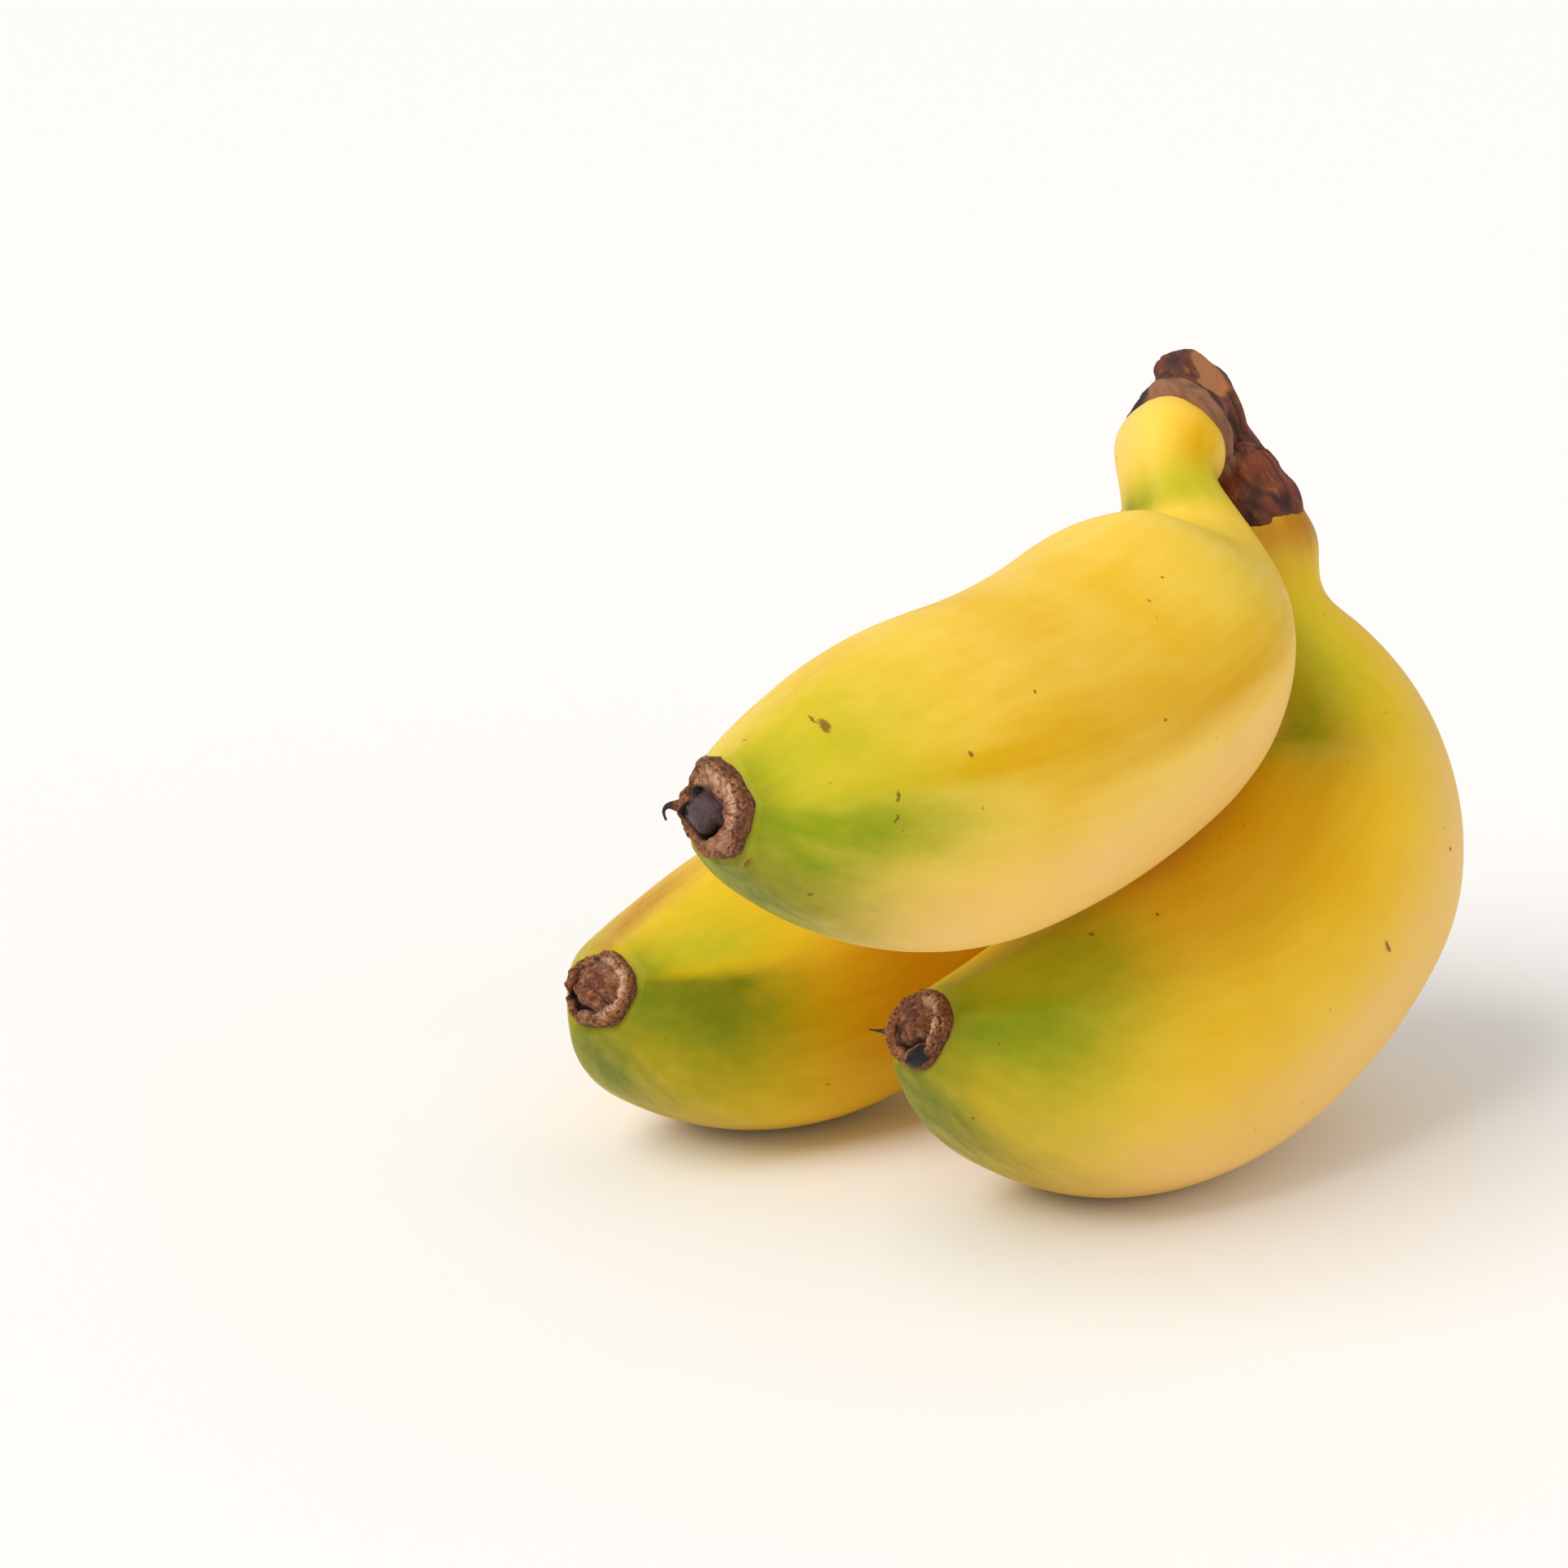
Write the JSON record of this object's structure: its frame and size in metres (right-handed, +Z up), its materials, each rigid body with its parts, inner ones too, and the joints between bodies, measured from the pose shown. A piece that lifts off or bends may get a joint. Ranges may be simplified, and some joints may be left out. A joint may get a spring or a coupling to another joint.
{
  "type": "bunch of bananas",
  "caption": "Small bunch of short, plump yellow bananas with green tips, joined at a dried brown crown and lying on a flat surface.",
  "frame": {"origin": "on the surface that the bunch lies on, under the middle of its bounding box", "axes": "+Z up; the crown is towards +X and +Y, and the blossom ends point towards -X and -Y"},
  "size_m": [0.1004, 0.1078, 0.0842],
  "materials": {
    "peel": "waxy banana peel, yellow with green tips, satin",
    "dried_crown": "dried, fibrous, dark reddish brown with a tan cut face",
    "corky_scar": "corky, pitted, brown with tan fibres"
  },
  "bodies": {
    "root": {"banana_upper": "peel", "banana_right": "peel", "banana_left": "peel", "crown": "dried_crown", "blossom_end_upper": "corky_scar", "blossom_end_right": "corky_scar", "blossom_end_left": "corky_scar"}
  },
  "joints": []
}
